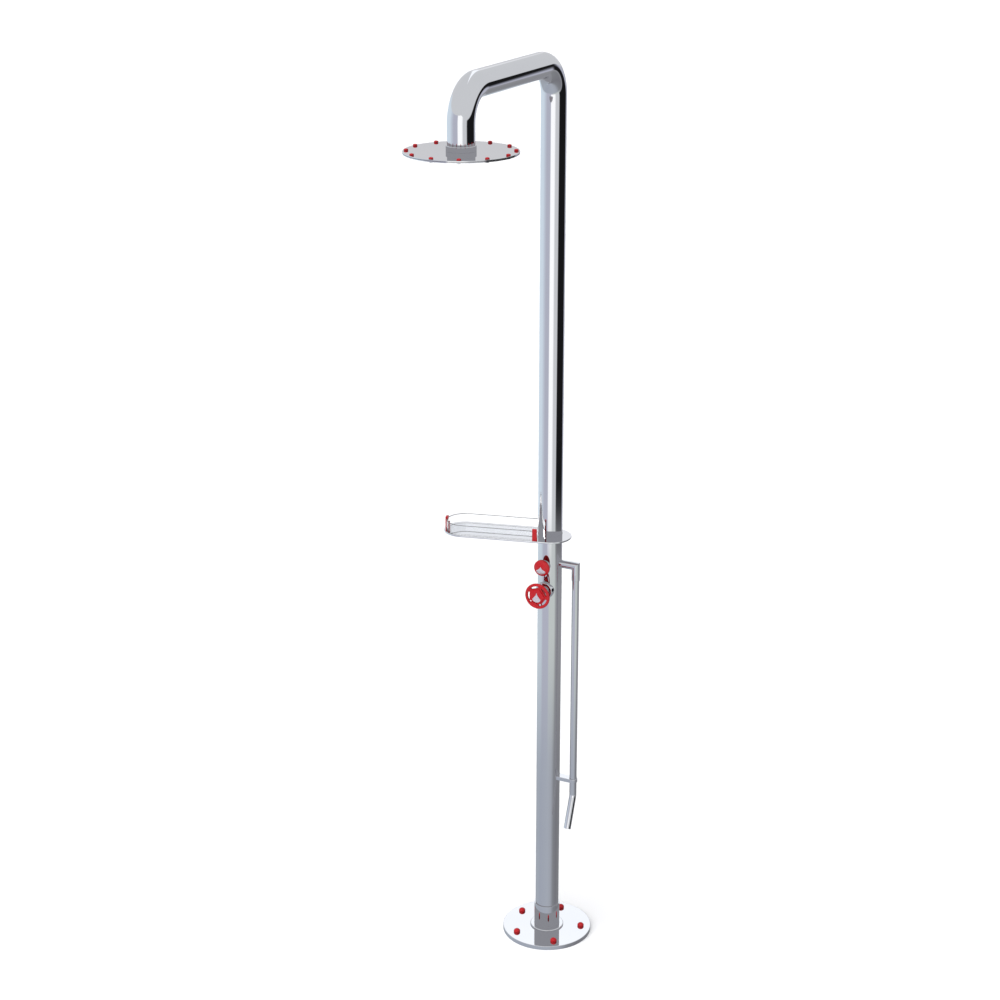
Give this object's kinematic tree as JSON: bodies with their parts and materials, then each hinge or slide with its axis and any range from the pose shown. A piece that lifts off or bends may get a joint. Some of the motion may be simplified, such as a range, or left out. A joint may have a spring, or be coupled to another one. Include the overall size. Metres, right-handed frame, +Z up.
{
  "type": "outdoor shower column",
  "caption": "Free-standing steel shower column on a bolted floor flange, with a bent arm and flat round head, two front valves, a foot-wash pipe and a small tray shelf.",
  "frame": {"origin": "centre of the floor bolt circle, on the floor, on the column's axis", "axes": "+Z up along the column; the arm and both valves point along -Y; the foot-wash pipe is on the +X side"},
  "size_m": [0.3798, 0.7105, 2.2982],
  "materials": {
    "polished_steel": "mirror polished stainless steel",
    "plain_steel": "plain machined stainless steel",
    "red_plastic": "glossy moulded plastic",
    "silver_mark": "satin metal inlay",
    "brass": "machined brass",
    "copper_pipe": "drawn tube",
    "cartridge_plastic": "moulded plastic",
    "seal_rubber": "moulded rubber",
    "clear_plastic": "clear acrylic"
  },
  "bodies": {
    "stand": {"base_flange": "polished_steel", "base_ring": "polished_steel", "base_socket": "polished_steel", "socket_set_screws": "plain_steel", "anchor_washers": "plain_steel", "anchor_nuts": "plain_steel", "anchor_caps": "red_plastic", "column_tube": "polished_steel", "column_elbow": "polished_steel", "arm_tube": "polished_steel", "head_elbow": "polished_steel", "drop_tube": "polished_steel", "head_collar": "polished_steel", "head_top_plate": "polished_steel", "head_gasket": "seal_rubber", "head_nozzle_plate": "polished_steel", "head_nozzles": "seal_rubber", "head_screws": "plain_steel", "head_nuts": "plain_steel", "head_caps": "red_plastic", "head_nipple": "brass", "inlet_nipple": "brass", "supply_pipe": "copper_pipe", "valve_block": "brass", "riser_pipe": "copper_pipe", "main_cartridge": "cartridge_plastic", "main_bonnet": "polished_steel", "main_escutcheon": "polished_steel", "main_seal": "seal_rubber", "packing_nut": "polished_steel", "foot_cartridge": "cartridge_plastic", "foot_bonnet": "polished_steel", "foot_escutcheon": "polished_steel", "foot_seal": "seal_rubber", "foot_elbow": "polished_steel", "foot_pipe": "polished_steel", "foot_spout": "polished_steel", "foot_clamp": "polished_steel", "shelf_plate": "polished_steel", "shelf_band": "clear_plastic", "shelf_clips": "red_plastic", "shelf_screws": "plain_steel"},
    "main_wheel": {"main_spindle": "plain_steel", "handwheel": "red_plastic", "handwheel_screw": "plain_steel", "handwheel_mark": "silver_mark"},
    "foot_control": {"foot_spindle": "plain_steel", "foot_knob": "red_plastic", "foot_knob_mark": "silver_mark"}
  },
  "joints": [
    {"name": "main_valve_turn", "type": "hinge", "parent": "stand", "child": "main_wheel", "pos_m": [0, -0.0725, 0.974], "axis": [0, -1, 0], "range_deg": [0, 180]},
    {"name": "foot_valve_turn", "type": "hinge", "parent": "stand", "child": "foot_control", "pos_m": [0, -0.05, 1.04], "axis": [0, -1, 0], "range_deg": [0, 90]}
  ]
}
